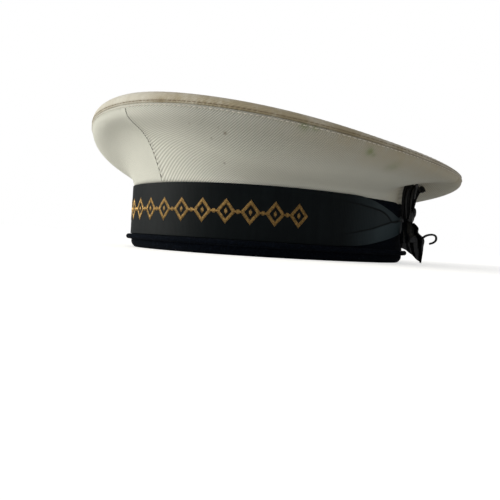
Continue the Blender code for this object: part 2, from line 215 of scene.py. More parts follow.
# Bow pieces, in shares of the ribbon's width from the knot's centre: along the band away from the
# front, out from the band, and up. Side is how far the strip stands clear of the knot's front (-1)
# or of its back (1)
LOOP_UPPER = table(
    "side along out up width turn curl",
    (-1.0, 0.000, -0.020, -0.06, 0.16, 0, 70),
    (-1.0, -0.025, -0.020, 0.15, 0.20, 0, 60),
    (-1.0, -0.025, -0.020, 0.34, 0.22, 0, 50),
    (-1.0, 0.005, -0.007, 0.53, 0.23, 0, 40),
    (-0.4, -0.005, 0.020, 0.670, 0.23, 0, 30),
    (0.3, -0.010, 0.030, 0.670, 0.23, 5, 30),
    (0.7, 0.000, 0.015, 0.55, 0.18, 10, 30),
    (0.7, 0.010, 0.000, 0.40, 0.16, 10, 40),
)
LOOP_REAR = table(
    "side along out up width turn curl",
    (1.0, 0.020, -0.010, 0.02, 0.12, 10, 60),
    (1.0, 0.045, -0.005, 0.24, 0.16, 14, 60),
    (1.0, 0.080, 0.020, 0.44, 0.18, 20, 50),
    (1.0, 0.115, 0.070, 0.60, 0.20, 26, 40),
    (1.0, 0.125, 0.135, 0.65, 0.22, 30, 30),
    (1.0, 0.115, 0.195, 0.55, 0.20, 30, 30),
)
TAIL = table(
    "down along out half_out half_along",
    (0.00, 0.000, 0.000, 0.115, 0.100),
    (0.12, -0.070, 0.057, 0.162, 0.120),
    (0.25, -0.130, 0.064, 0.167, 0.135),
    (0.37, -0.170, 0.120, 0.222, 0.155),
    (0.61, -0.190, 0.143, 0.212, 0.170),
    (1.00, -0.190, 0.180, 0.165, 0.150),
)
TAIL_CUT = table(
    "round reach",
    (0.00, 0.50),
    (0.20, 0.52),
    (0.40, 0.62),
    (0.60, 0.76),
    (0.80, 0.95),
    (1.00, 1.00),
)
TAIL_FIRST = radians(62.0)
TAIL_TURN = radians(305.0)
WISP = table(
    "out up",
    (0.000, 0.000),
    (0.060, 0.045),
    (0.130, 0.070),
    (0.205, 0.075),
    (0.262, 0.045),
    (0.272, -0.030),
    (0.220, -0.090),
    (0.140, -0.120),
)

# Wear and painted shade of the white twill, by the angle from the front in degrees: where each kind sets in,
# is full, fades and is gone, and its strength. The first two rows are handling of the side. The third is
# painted shade that darkens the side towards the rim, and the last is painted shade on the middle of the
# top's roll
UNDER_RIM, BEHIND, SIDE_PAINTED_SHADE, TOP_PAINTED_SHADE = table(
    "start full fading gone strength",
    (38, 78, 127, 155, 0.75),
    (95, 110, 127, 155, 0.40),
    (6, 30, 97, 122, 1.00),
    (10, 28, 60, 100, 0.75),
)
PAINTED_SHADE_LOW, PAINTED_SHADE_HIGH = 0.02, 0.36        # share of the painted shade low on the side and near the rim
HELD_ALL, HELD_RIM = 0.05, 0.32         # handling of the top all over and more of it at the rim
HELD_REACH = 14.0 * MM                  # from the rim inwards

# Marks on the white twill: angle from the front, share of the way up, size in millimetres and strength
SPECKS = table(
    "angle rise size strength",
    (36.1, 0.711, 0.9, 0.9),
    (32.1, 0.602, 0.6, 0.6),
    (26.5, 0.747, 0.5, 0.5),
    (34.4, 0.762, 0.5, 0.5),
    (34.8, 0.308, 0.6, 0.8),
)
GREEN_STAINS = table(
    "angle rise size strength",
    (71.6, 0.842, 2.2, 0.9),
    (73.0, 0.810, 1.4, 0.5),
    (54.8, 0.975, 2.6, 0.7),
    (57.2, 0.980, 2.0, 0.6),
    (81.0, 0.700, 4.0, 0.35),
)


def length_setting(name, description, default, least):
    """A length that a user may change, given in millimetres."""
    return FloatProperty(
        name=name, description=description, default=default * MM, min=least * MM, unit="LENGTH"
    )


def colour_setting(name, description, default):
    """A colour that a user may change, given as an sRGB hex value."""
    return FloatVectorProperty(
        name=name, description=description, default=linear(default), size=3, min=0, max=1, subtype="COLOR",
    )


class CapSizes(bpy.types.PropertyGroup):
    """Sizes of the cloth and its sewing."""

    twill_spacing: length_setting("Twill spacing", "Between two diagonals, drawn twice as wide", 1.1, 0.2)
    rib_spacing: length_setting("Rib spacing", "Between two ribs of the silk, drawn coarse to show", 1.1, 0.2)
    nap_size: length_setting("Nap size", "Width of the tufts that milled wool shows", 1.2, 0.2)
    pucker_pitch: length_setting("Pucker pitch", "Between two small gathers along the crown's seam", 4.8, 1.0)
    pucker_depth: length_setting("Pucker depth", "How deep the gathers at the crown's seam are", 0.32, 0.0)
    stitch_pitch: length_setting("Stitch pitch", "Of the row above the crown's seam", 3.0, 1.0)
    edge_pitch: length_setting("Edge stitch pitch", "Of the row under the crown's seam", 3.1, 1.0)
    thread: length_setting("Thread", "Diameter of the sewing thread", 0.42, 0.1)
    motif_pitch: length_setting("Motif pitch", "From one gilt lozenge to the next", 14.2, 8.0)
    motif_height: length_setting("Motif height", "Height of a gilt lozenge", 14.6, 4.0)
    wire_spacing: length_setting("Wire spacing", "Between two gilt wires of the woven lozenges", 0.6, 0.2)


class CapColours(bpy.types.PropertyGroup):
    """Colours of the cloths."""

    twill: colour_setting("White twill", "The crown's side, bleached cotton", "F3F3E7")
    tip_twill: colour_setting("Tip twill", "The crown's top, bleached cotton, a little yellowed", "F3F0E4")
    grime: colour_setting("Grime", "Dirt in the seams and specks", "776A52")
    # also painted on the middle of the top's roll as shade
    handling_and_top_shade: colour_setting("Handling", "Pinkish brown of handling at the rim", "B5A88B")
    green_stain: colour_setting("Green stain", "Mould spots", "7E8C5C")
    seam_thread: colour_setting("Seam thread", "Dark thread of the front seam", "55503F")
    rim_thread: colour_setting("Rim thread", "Brown thread above the crown's seam", "8A7A60")
    edge_thread: colour_setting("Edge thread", "Light thread under the crown's seam", "E9E2D4")
    wool: colour_setting("Navy wool", "Nearly black indigo", "070B12")
    silk: colour_setting("Black silk", "The ribbon", "0F1416")
    # Painted shade: the ribbon's silk made darker for the bow, for the shade in its creases
    bow_silk: colour_setting("Black silk of the bow", "Creased silk, which looks darker", "0C0E11")
    gilt: colour_setting("Gilt", "Tarnished gilt wire", "C09A5C")
    floor: colour_setting("Floor", "Pale studio floor", "F3F1EC")


class CapLight(bpy.types.PropertyGroup):
    """The camera and the studio's light."""

    lens: FloatProperty(
        name="Lens", description="The camera's focal length in millimetres",
        default=40.0, min=10.0, max=200.0,
    )
    key: FloatProperty(name="Key light", description="Strength of the large soft light", default=3.6, min=0.0)
    key_turn: FloatProperty(
        name="Key direction", description="Where the key stands, round from the front", default=radians(-37),
        subtype="ANGLE",
    )
    key_height: FloatProperty(
        name="Key height", description="The key's angle above the floor", default=radians(6), subtype="ANGLE",
    )
    room: FloatProperty(
        name="Room light", description="Strength of the room's even light", default=0.37, min=0.0
    )
    floor_glow: FloatProperty(
        name="Floor glow", description="How much whiter the lens sees the floor, as on a lit table",
        default=0.60, min=0.0,
    )


# Reading tables and plan curves

def read(rows, column, place, key=None):
    """Smooth values of one column: place runs along the rows from 0 to 1, or along the key column."""
    at = rows[key] if key else np.linspace(0.0, 1.0, len(rows))
    values = rows[column]
    slopes = np.gradient(values, at)
    place = np.asarray(place, float)
    k = np.clip(np.searchsorted(at, place) - 1, 0, len(at) - 2)
    span = at[k + 1] - at[k]
    t = np.clip((place - at[k]) / span, 0.0, 1.0)
    start = (1 + 2 * t) * (1 - t) ** 2 * values[k] + t * (1 - t) ** 2 * span * slopes[k]
    end = t * t * (3 - 2 * t) * values[k + 1] + t * t * (t - 1) * span * slopes[k + 1]
    return start + end


def points(x, y, z):
    return np.stack(np.broadcast_arrays(x, y, z), axis=-1).astype(float)


def length_of(vectors):
    return np.linalg.norm(vectors, axis=-1)


def unit(vectors):
    return vectors / np.maximum(length_of(vectors), 1e-12)[..., None]


def bump(distance, spread):
    """1 where the distance is zero, falling to nothing on both sides."""
    return np.exp(-(distance / spread) ** 2)


def rising(value, start, end):
    """0 at start and 1 at end, and level beyond them."""
    return np.clip((value - start) / (end - start), 0, 1)


def worn(wear, turned):
    """How strong a kind of wear is, by the angle from the front in degrees."""
    sets_in = rising(turned, wear["start"], wear["full"])
    return wear["strength"] * sets_in * rising(turned, wear["gone"], wear["fading"])


def oval(angle, half_length, half_width, power):
    """Points of a squarish oval, by the angle from the front."""
    across, forward = np.sin(angle), np.cos(angle)
    x = half_width * np.sign(across) * np.abs(across) ** (2 / power)
    y = -half_length * np.sign(forward) * np.abs(forward) ** (2 / power)
    return points(x, y, 0.0)


def band_outward(angle):
    """The direction straight out of the band."""
    p = oval(angle, BAND_HALF_LENGTH, BAND_HALF_WIDTH, BAND_PLAN_POWER)
    x, y = p[..., 0], p[..., 1]
    slope_x = np.sign(x) * np.abs(x / BAND_HALF_WIDTH) ** (BAND_PLAN_POWER - 1) / BAND_HALF_WIDTH
    slope_y = np.sign(y) * np.abs(y / BAND_HALF_LENGTH) ** (BAND_PLAN_POWER - 1) / BAND_HALF_LENGTH
    return unit(points(slope_x, slope_y, 0.0))


def band_point(angle, out, height):
    """Points at a distance outside the band's outer face."""
    angle, out, height = np.broadcast_arrays(np.asarray(angle, float), out, height)
    p = oval(angle, BAND_HALF_LENGTH, BAND_HALF_WIDTH, BAND_PLAN_POWER)
    p = p + band_outward(angle) * out[..., None]
    p[..., 2] = height
    return p


def seam_point(angle):
    """The seam between the crown's top and its side panels."""
    p = oval(angle, CROWN_LENGTH / 2, CROWN_WIDTH / 2, CROWN_PLAN_POWER)
    p[..., 1] += CROWN_SHIFT_BACK
    p[..., 2] = CROWN_SEAM_HEIGHT - tan(CROWN_TILT) * p[..., 1] + CROWN_SADDLE * np.cos(2 * np.asarray(angle))
    return p


def side_point(angle, rise):
    """Points of a side panel's outer face, from the band at rise 0 to the seam at rise 1."""
    angle, rise = np.broadcast_arrays(np.asarray(angle, float), rise)
    foot = band_point(angle, -CLEARANCE, BAND_HEIGHT - TURNED_IN)
    seam = seam_point(angle)
    turned = np.degrees(np.abs(np.arctan2(np.sin(angle), np.cos(angle))))
    low_out, low_up, high_out, high_up = (
        read(FLARE, column, turned, "angle") for column in ("low_out", "low_up", "high_out", "high_up")
    )
    low, high, last = 3 * (1 - rise) ** 2 * rise, 3 * (1 - rise) * rise ** 2, rise ** 3
    out = low * low_out + high * high_out + last
    up = low * low_up + high * high_up + last
    p = foot + (seam - foot) * out[..., None]
    p[..., 2] = foot[..., 2] + (seam[..., 2] - foot[..., 2]) * up
    away = (angle - DENT_ANGLE) / DENT_SPREAD
    dent = np.exp(-away * away) * rise * (1 - rise) ** 3 / DENT_PEAK
    p = p - band_outward(angle) * (DENT_PUSH * dent)[..., None]
    p[..., 2] += DENT_LIFT * dent
    return p


def roll_height(angle):
    return ROLL_BACK + (ROLL_FRONT - ROLL_BACK) * ((1 + np.cos(angle)) / 2) ** ROLL_FALL


def top_point(angle, inward):
    """Points of the crown's top, from its seam at 0, over its roll, to its centre at 1."""
    angle, inward = np.broadcast_arrays(np.asarray(angle, float), inward)
    centre = np.array([0, CROWN_SHIFT_BACK, 0])
    seam = seam_point(angle)
    spoke = (seam - centre) * np.array([1, 1, 0])
    turn = ROLL_START + (ROLL_END - ROLL_START) * np.minimum(inward / ROLL_SHARE, 1.0)
    inset = ROLL_WIDTH / 2 * (cos(ROLL_START) - np.cos(turn))
    lift = roll_height(angle) * (np.sin(turn) - sin(ROLL_START)) / (1 - sin(ROLL_START))
    foot = centre + spoke * (1 - inset / length_of(spoke))[..., None]
    out = np.minimum(1 - (inward - ROLL_SHARE) / (1 - ROLL_SHARE), 1.0)
    p = centre + (foot - centre) * out[..., None]
    level = CROWN_SEAM_HEIGHT - tan(CROWN_TILT) * p[..., 1]
    edge_lift = seam[..., 2] + lift - CROWN_SEAM_HEIGHT + tan(CROWN_TILT) * foot[..., 1]
    dome = level + edge_lift * out ** 2 + CROWN_DOME * (1 - out ** 2)
    p[..., 2] = np.where(inward <= ROLL_SHARE, seam[..., 2] + lift, dome)
    return p


def bow_point(along, out, up):
    """Points by their place from the knot's centre."""
    outward = band_outward(KNOT_ANGLE)
    backward = np.array([-outward[1], outward[0], 0.0])
    centre = band_point(KNOT_ANGLE, KNOT_OUT, KNOT_HEIGHT)
    along, out, up = np.broadcast_arrays(np.asarray(along, float), out, up)
    upward = np.array([0.0, 0.0, 1.0])
    return centre + along[..., None] * backward + out[..., None] * outward + up[..., None] * upward


# Lengths along the band and the seam, from the front, for what is spaced evenly
ROUND = np.linspace(-pi, pi, 7201)


def lengths_round(route):
    steps = length_of(np.diff(route, axis=0))
    lengths = np.concatenate([[0.0], np.cumsum(steps)])
    return lengths - lengths[len(lengths) // 2]


BAND_LENGTHS = lengths_round(band_point(ROUND, 0.0, 0.0))
SEAM_LENGTHS = lengths_round(seam_point(ROUND))


def along_seam(angle):
    """The length along the crown's seam from the front to an angle."""
    return np.interp(np.arctan2(np.sin(angle), np.cos(angle)), ROUND, SEAM_LENGTHS)


def along_band(angle):
    return np.interp(np.arctan2(np.sin(angle), np.cos(angle)), ROUND, BAND_LENGTHS)


def band_angle(length):
    return np.interp(length, BAND_LENGTHS, ROUND)


# Relief of the sewing

def raised(surface, across, along, height):
    """Points of a surface, moved out along its own normal."""
    slope_across = surface(across + STEP, along) - surface(across - STEP, along)
    slope_along = surface(across, along + STEP) - surface(across, along - STEP)
    return surface(across, along) + unit(np.cross(slope_across, slope_along)) * height[..., None]


def puckers(angle, distance, sizes):
    """The small gathers that the crown's seam pulls into the cloth on both of its sides."""
    length = along_seam(angle)
    phase = 2 * pi * length / sizes.pucker_pitch
    phase = phase + 1.6 * np.sin(length / PUCKER_DRIFT) + 1.1 * np.sin(length / PUCKER_FLUTTER)
    strength = 0.65 + 0.35 * np.sin(length / PUCKER_FADING + 1.0)
    reach = np.exp(-distance / PUCKER_REACH) - np.exp(-distance / SEAM_SPREAD)
    return -sizes.pucker_depth * strength * (0.5 + 0.5 * np.cos(phase)) * reach


def slow_waves(p):
    """The soft crown's slow waves, by place."""
    x, y, z = p[..., 0], p[..., 1], p[..., 2]
    level = np.sin(x / WAVES_ACROSS + 0.8 * np.sin(y / WAVES_BEND)) * np.sin(y / WAVES_ALONG + 1.3)
    upright = np.sin(z / WAVES_UP + x / WAVES_SLANT)
    return WAVE_DEPTH * (level + 0.6 * upright) / 1.6


def seam_relief(distance):
    """The lip of turned cloth beside a seam."""
    return LIP_HEIGHT * bump(distance - LIP_PLACE, LIP_SPREAD) * (1 - np.exp(-distance / SEAM_SPREAD))


def side_relief(angle, rise, sizes):
    """How far a side panel's cloth stands off its plain shape."""
    p = side_point(angle, rise)
    from_rim = length_of(p - side_point(angle, np.ones_like(rise)))
    relief = seam_relief(from_rim) + puckers(angle, from_rim, sizes)
    from_band = length_of(p - side_point(angle, np.zeros_like(rise)))
    fade = rising(np.minimum(from_rim, from_band), 0, 12 * MM)
    from_front = np.abs(np.arctan2(np.sin(angle - PANEL_SEAMS[0]), np.cos(angle - PANEL_SEAMS[0])))
    relief = relief + FRONT_RIDGE * np.exp(-from_front * length_of(p[..., :2]) / FRONT_RIDGE_SPREAD) * fade
    for seam in PANEL_SEAMS:
        away = np.abs(np.arctan2(np.sin(angle - seam), np.cos(angle - seam))) * length_of(p[..., :2])
        relief = relief + 0.6 * seam_relief(away) * np.clip(from_rim / 0.003, 0, 1)
    return relief + slow_waves(p) * fade


def side_surface(angle, rise, sizes):
    return raised(side_point, angle, rise, side_relief(angle, rise, sizes))


def top_relief(angle, inward, sizes):
    p = top_point(angle, inward)
    from_rim = length_of(p - top_point(angle, np.zeros_like(inward)))
    on_roll = np.clip(1.2 - inward / ROLL_SHARE, 0, 1)
    relief = seam_relief(from_rim) - TOPSTITCH_GROOVE * bump(from_rim - TOPSTITCH_PLACE, TOPSTITCH_SPREAD)
    waves = slow_waves(p) * rising(from_rim, 0, 6 * MM)
    return relief * on_roll + puckers(angle, from_rim, sizes) + waves


def top_surface(angle, inward, sizes):
    return raised(top_point, angle, inward, top_relief(angle, inward, sizes))


# Materials

def add_node(tree, kind, inputs=None, **settings):
    """Adds a node. inputs maps an input's name or number to a value or to another node's output."""
    made = tree.nodes.new("ShaderNode" + kind)
    for name, value in settings.items():
        setattr(made, name, value)
    for name, value in (inputs or {}).items():
        if isinstance(value, bpy.types.NodeSocket):
            tree.links.new(value, made.inputs[name])
        else:
            made.inputs[name].default_value = value
    return made


def new_material(name, finish):
    """A new material, its nodes and its shader. finish maps the shader's sockets to what is the same all
    over the surface."""
    made = bpy.data.materials.new(name)
    made.use_nodes = True
    tree = made.node_tree
    tree.nodes.clear()
    shader = add_node(tree, "BsdfPrincipled", finish)
    add_node(tree, "OutputMaterial", {"Surface": shader.outputs[0]})
    return made, tree, shader


def noise(tree, vector, size, **settings):
    """Noise with grains of a real size, from 0 to 1."""
    return add_node(tree, "TexNoise", {"Vector": vector, "Scale": 1 / size, **settings}).outputs[0]


def layer(tree, name):
    """The strength of one of the mesh's layers."""
    return add_node(tree, "Attribute", attribute_name=name).outputs["Fac"]


def own_place(tree):
    """The place on the object itself."""
    return add_node(tree, "TexCoord").outputs["Object"]


def surfaced(tree, shader, colour, height=None, relief=0.0, depth=0.0):
    """Gives a shader its colour and, with height, its relief."""
    tree.links.new(colour, shader.inputs["Base Color"])
    if height:
        bumped = add_node(tree, "Bump", {"Strength": relief, "Distance": depth, "Height": height})
        tree.links.new(bumped.outputs[0], shader.inputs["Normal"])


def shaded(colour, share):
    """A colour made darker or lighter, opaque."""
    return (*[min(c * share, 1) for c in colour], 1)


def mixed(tree, amount, first, second, blend="MIX"):
    """The colour between two others."""
    made = add_node(tree, "MixRGB", {0: amount, 1: first, 2: second}, blend_type=blend)
    return made.outputs[0]


def ramp(tree, amount, *stops):
    """A colour that runs from one stop to the next. A stop is its place and its colour."""
    made = add_node(tree, "ValToRGB", {"Fac": amount})
    for stop, (place, colour) in zip(made.color_ramp.elements, stops):
        stop.position, stop.color = place, colour
    return made.outputs[0]


def wave(tree, vector, spacing, turn):
    """Stripes with a real spacing, turned by an angle, from 0 to 1."""
    turned = add_node(tree, "Mapping", {"Vector": vector, "Rotation": (0, 0, turn)}).outputs[0]
    scale = 2 * pi / 20 / spacing
    return add_node(tree, "TexWave", {"Vector": turned, "Scale": scale, "Distortion": 0.0}).outputs["Fac"]


def cotton_twill(name, colour, colours, sizes, relief, tint):
    """Cotton twill, woven and bleached: matt, with a fine diagonal, grime where a hand or seam is, and
    painted shade that makes the side darker towards the rim and the top's roll darker in its middle.
    """
    made, tree, shader = new_material(name, {
        "Roughness": 0.9, "IOR": 1.5, "Specular IOR Level": 0.2, "Sheen Weight": 0.15, "Sheen Roughness": 0.5,
    })
    cloth = add_node(tree, "UVMap").outputs[0]
    diagonal = wave(tree, cloth, sizes.twill_spacing, radians(30))
    yarn = noise(tree, cloth, 1.6 * MM, Detail=3.0)
    cloudy = noise(tree, own_place(tree), 1 / 60, Detail=6.0, Roughness=0.7)
    shade = mixed(tree, cloudy, shaded(colour, 0.93), shaded(colour, 1.05))
    # painted shade: the side panels mixed towards dark brown, more towards the rim
    shade = mixed(tree, layer(tree, "painted_shade"), shade, (0.05, 0.035, 0.01, 1))
    shade = mixed(tree, diagonal, shade, (tint, tint, tint * 0.98, 1), "MULTIPLY")
    patches = add_node(tree, "MapRange", {1: 0.35, 2: 0.65, 3: 0.5, 4: 1.3, 0: cloudy}).outputs[0]
    # stains, and the handling layer, which on the top also holds painted shade
    for layer_name in ("handling_and_top_shade", "green_stain", "grime"):
        patchy = {0: layer(tree, layer_name), 1: patches}
        uneven = add_node(tree, "Math", patchy, operation="MULTIPLY", use_clamp=True).outputs[0]
        shade = mixed(tree, uneven, shade, shaded(getattr(colours, layer_name), 1))
    height = add_node(tree, "Math", {0: yarn, 1: 0.6, 2: diagonal}, operation="MULTIPLY_ADD").outputs[0]
    surfaced(tree, shader, shade, height, relief, 0.25 * MM)
    return made


def milled_wool(name, colour, sizes):
    """Wool cloth, woven and milled: it swallows light, and its nap catches a few specks of it."""
    made, tree, shader = new_material(name, {
        "Roughness": 1.0, "IOR": 1.5, "Specular IOR Level": 0.04,
        "Sheen Weight": 0.005, "Sheen Roughness": 0.6,
    })
    nap = noise(tree, own_place(tree), sizes.nap_size, Detail=4.0)
    tufts = ramp(tree, nap, (0.45, shaded(colour, 1)), (0.75, shaded(colour, 2.6)))
    surfaced(tree, shader, tufts, nap, 0.8, 0.5 * MM)
    return made


def ribbed_silk(name, colour, sizes, relief, roughness, gloss):
    """Silk, woven with fine ribs across the ribbon: a soft gloss that breaks up along the ribs."""
    made, tree, shader = new_material(name, {"Roughness": roughness, "IOR": 1.5, "Specular IOR Level": gloss})
    cloth = add_node(tree, "UVMap").outputs[0]
    ribs = wave(tree, cloth, sizes.rib_spacing, 0.0)
    drawn = add_node(tree, "Mapping", {"Vector": cloth, "Scale": (1.0, 0.08, 1.0)}).outputs[0]
    streaks = noise(tree, drawn, 4.0 * MM, Detail=5.0)
    shade = mixed(tree, streaks, shaded(colour, 0.55), shaded(colour, 1.6))
    # painted shadow: the lines beside the folds darkened to 0.15 of the silk's colour
    # painted sheen: the ribbon's flaps and its drawn part painted eight times lighter
    for name, share in (("flap_and_sheen", 8.0), ("crease_and_shadow", 0.15)):
        shade = mixed(tree, layer(tree, name), shade, shaded(colour, share))
    height = add_node(tree, "Math", {0: streaks, 1: 1.5, 2: ribs}, operation="MULTIPLY_ADD").outputs[0]
    surfaced(tree, shader, shade, height, relief, 0.12 * MM)
    return made


def gilt_wire(colour):
    """Gilt wire, drawn and woven in: metal dulled by tarnish, bright only in specks."""
    made, tree, shader = new_material("Gilt wire, woven", {"Metallic": 0.85, "Roughness": 0.42})
    specks = noise(tree, own_place(tree), 0.9 * MM, Detail=2.0)
    surfaced(tree, shader, ramp(tree, specks, (0.35, shaded(colour, 0.35)), (0.7, shaded(colour, 1))))
    return made


def sewing_thread(name, colour):
    """Cotton thread, twisted and waxed: a slight gloss along each stitch."""
    made, tree, shader = new_material(name, {"Roughness": 0.7, "IOR": 1.5})
    twist = noise(tree, own_place(tree), 0.7 * MM)
    surfaced(tree, shader, mixed(tree, twist, shaded(colour, 0.7), shaded(colour, 1.2)))
    return made


# Making pieces

def add_piece(name, data, finish, replaced=()):
    """A piece that rides on the cap and takes the place of the replaced nodes."""
    made = bpy.data.objects.new(name, data)
    data.materials.append(finish)
    bpy.context.scene.collection.objects.link(made)
    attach(made, "root")
    if replaced:
        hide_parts(*replaced)
    return made


def cloth_mesh(name, steps_across, steps_up, surface, flat, layers=None, closed=False):
    """A grid whose corners a function of two arrays of shares places. flat gives each corner's place on the
    flat cloth, in metres, and layers the strength of each of its stains, painted shades and painted
    highlights there."""
    bm = bmesh.new()
    bmesh.ops.create_grid(bm, x_segments=steps_across, y_segments=steps_up, size=0.5, calc_uvs=False)
    mesh = bpy.data.meshes.new(name)
    bm.to_mesh(mesh)
    bm.free()
    corners = np.zeros(len(mesh.vertices) * 3)
    mesh.vertices.foreach_get("co", corners)
    across, up = corners.reshape(-1, 3)[:, 0] + 0.5, corners.reshape(-1, 3)[:, 1] + 0.5
    mesh.vertices.foreach_set("co", surface(across, up).ravel())
    of_loop = np.zeros(len(mesh.loops), int)
    mesh.loops.foreach_get("vertex_index", of_loop)
    flat_x, flat_y = flat(across, up)
    on_cloth = np.stack([flat_x, flat_y], -1)[of_loop]
    mesh.uv_layers.new(name="Cloth").data.foreach_set("uv", on_cloth.ravel())
    for layer, strength in (layers or {}).items():
        mesh.attributes.new(layer, "FLOAT", "POINT").data.foreach_set("value", strength(across, up))
    if closed:
        bm = bmesh.new()
        bm.from_mesh(mesh)
        bmesh.ops.remove_doubles(bm, verts=bm.verts, dist=0.001 * MM)
        bm.to_mesh(mesh)
        bm.free()
    mesh.shade_smooth()
    return mesh


def cloth_piece(name, node, finish, steps, surface, flat, layers=None, wall=0, side=-1, closed=False):
    """A piece of cloth in place of a node. With wall it becomes as thick as that, on its inner side with
    -1 or on both with 0. Closed joins the corners that meet."""
    mesh = cloth_mesh(name, *steps, surface, flat, layers, closed)
    made = add_piece(name, mesh, finish, [node] if node else ())
    if wall:
        solid = made.modifiers.new("Wall", "SOLIDIFY")
        solid.thickness = wall
        solid.offset = side
        solid.use_quality_normals = True
    return made


def path_length(path):
    return float(length_of(np.diff(path, axis=0)).sum())


def panel_cut(start, span):
    """The flat cut of a side panel, a piece of a ring: the ring's outer radius, its depth, half the angle
    that it turns through, and the cut's area."""
    angles, ones = start + span * np.linspace(0, 1, 200), np.ones(200)
    low, high = side_point(angles, ones * 0), side_point(angles, ones)
    foot, rim = path_length(low), path_length(high)
    height = float(length_of(high - low).mean())
    ring = height * rim / (rim - foot)
    return ring, height, rim / ring / 2, (rim + foot) / 2 * height


def strip_cut(surface):
    """The width and length of a flat strip, and its area, read from the cloth that it became."""
    count = 60
    across, along = np.meshgrid(np.linspace(0, 1, count), np.linspace(0, 1, count))
    grid = surface(across.ravel(), along.ravel()).reshape(count, count, 3)
    widths = np.array([path_length(row) for row in grid])
    length = path_length(grid[:, count // 2])
    return (max(float(widths.max()), 10 * MM), length), float(widths.mean()) * length


def thread_mesh(name, threads):
    """Short straight threads with round ends, copied from one small ball. A thread is its centre,
    direction, half length and radius."""
    bm = bmesh.new()
    bmesh.ops.create_uvsphere(bm, u_segments=6, v_segments=6, radius=1.0)
    ball = np.array([vertex.co for vertex in bm.verts])
    triangles = bmesh.ops.triangulate(bm, faces=bm.faces)["faces"]
    faces = np.array([[vertex.index for vertex in face.verts] for face in triangles])
    bm.free()
    corners = []
    for centre, direction, half_length, radius in threads:
        turn = np.array(Vector(direction).to_track_quat("Z", "Y").to_matrix())
        local = ball * radius
        local[:, 2] += half_length * np.sign(np.round(ball[:, 2], 3))
        corners.append(local @ turn.T + centre)
    offsets = len(ball) * np.arange(len(threads))[:, None, None]
    mesh = bpy.data.meshes.new(name)
    mesh.from_pydata(np.concatenate(corners), [], (faces + offsets).reshape(-1, 3).tolist())
    mesh.shade_smooth()
    return mesh


def spots(rows, angle, rise):
    """Marks of a table, as a strength from 0 to 1."""
    p = side_point(angle, rise)
    total = np.zeros(len(p))
    for row in rows:
        centre = side_point(radians(row["angle"]), row["rise"])
        total = np.maximum(total, row["strength"] * bump(length_of(p - centre), row["size"] * MM))
    return total


class CAP_OT_side_panels(bpy.types.Operator):
    """Sews the three flared panels of the crown, with seams in front and behind each side"""

    bl_idname = "cap.side_panels"
    bl_options = {"REGISTER", "UNDO"}
    bl_label = "Side Panels"
    columns_a_degree = 3.0
    rows = 56
    crowding = 1.5                  # the rows lie closer together towards the rim

    def execute(self, context):
        sizes, colours = context.scene.cap_sizes, context.scene.cap_colours
        finish = cotton_twill("Cotton twill, woven and bleached", colours.twill, colours, sizes, 0.7, 0.7)
        names = ("side_panel_left", "back_panel", "side_panel_right")
        ends = list(PANEL_SEAMS) + [PANEL_SEAMS[0]]
        for name, start, end in zip(names, ends, ends[1:]):
            span = (end - start) % (2 * pi)

            def angle(across, start=start, span=span):
                return start + span * across

            def rise(up):
                return 1 - (1 - up) ** self.crowding

            def surface(across, up):
                return side_surface(angle(across), rise(up), sizes)

            ring, depth, half_turn, area = panel_cut(start, span)

            def flat(across, up, ring=ring, depth=depth, half_turn=half_turn):
                radius, turn = ring - depth * (1 - rise(up)), half_turn * (2 * across - 1)
                return radius * np.sin(turn), radius * np.cos(turn)

            def handling_and_top_shade(across, up):
                turned = np.degrees(angle(across))
                under_rim = worn(UNDER_RIM, turned) * rising(rise(up), 0.55, 0.95)
                return np.maximum(under_rim, worn(BEHIND, turned))

            def grime(across, up):
                p = side_point(angle(across), rise(up))
                from_rim = length_of(p - side_point(angle(across), np.ones_like(up)))
                in_seam = SEAM_GRIME * np.exp(-from_rim / SEAM_GRIME_REACH)
                return np.maximum(in_seam, spots(SPECKS, angle(across), rise(up)))

            def green(across, up):
                return spots(GREEN_STAINS, angle(across), rise(up))

            # Painted shade: the side panels darker towards the rim, from the front round to the back
            def painted_shade(across, up):
                share = PAINTED_SHADE_LOW + (PAINTED_SHADE_HIGH - PAINTED_SHADE_LOW) * rising(rise(up), 0.45, 0.80)
                return worn(SIDE_PAINTED_SHADE, np.degrees(angle(across))) * share

            layers = {"handling_and_top_shade": handling_and_top_shade, "grime": grime, "green_stain": green, "painted_shade": painted_shade}
            steps = (ceil(self.columns_a_degree * np.degrees(span)), self.rows)
            piece = cloth_piece(
                name + "_twill", name, finish, steps, surface, flat, layers, wall=CLOTH,
            )
        return {"FINISHED"}


